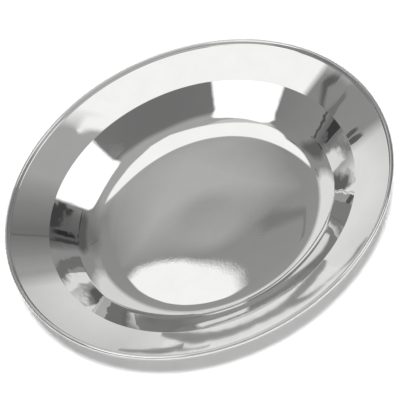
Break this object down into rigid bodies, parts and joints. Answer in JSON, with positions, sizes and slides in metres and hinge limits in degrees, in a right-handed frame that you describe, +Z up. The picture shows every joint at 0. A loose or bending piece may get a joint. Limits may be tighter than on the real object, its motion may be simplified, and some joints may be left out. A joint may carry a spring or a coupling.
{
  "type": "deep plate",
  "caption": "Round deep plate of mirror-polished stainless steel sheet, with a wide sloping rim, a rolled wired edge and a shallow curved well for serving food.",
  "frame": {"origin": "centre of the flat disc that the plate stands on, on the table's surface", "axes": "+Z is up, along the plate's axis, and the plate is the same all round it"},
  "size_m": [0.24, 0.24, 0.0313],
  "materials": {
    "buffed_sheet": "pressed stainless sheet, buffed to a mirror with faint turning lines",
    "drawn_wire": "bright drawn steel wire, unpolished"
  },
  "bodies": {
    "root": {"plate": "buffed_sheet", "rim_wire": "drawn_wire"}
  },
  "joints": []
}
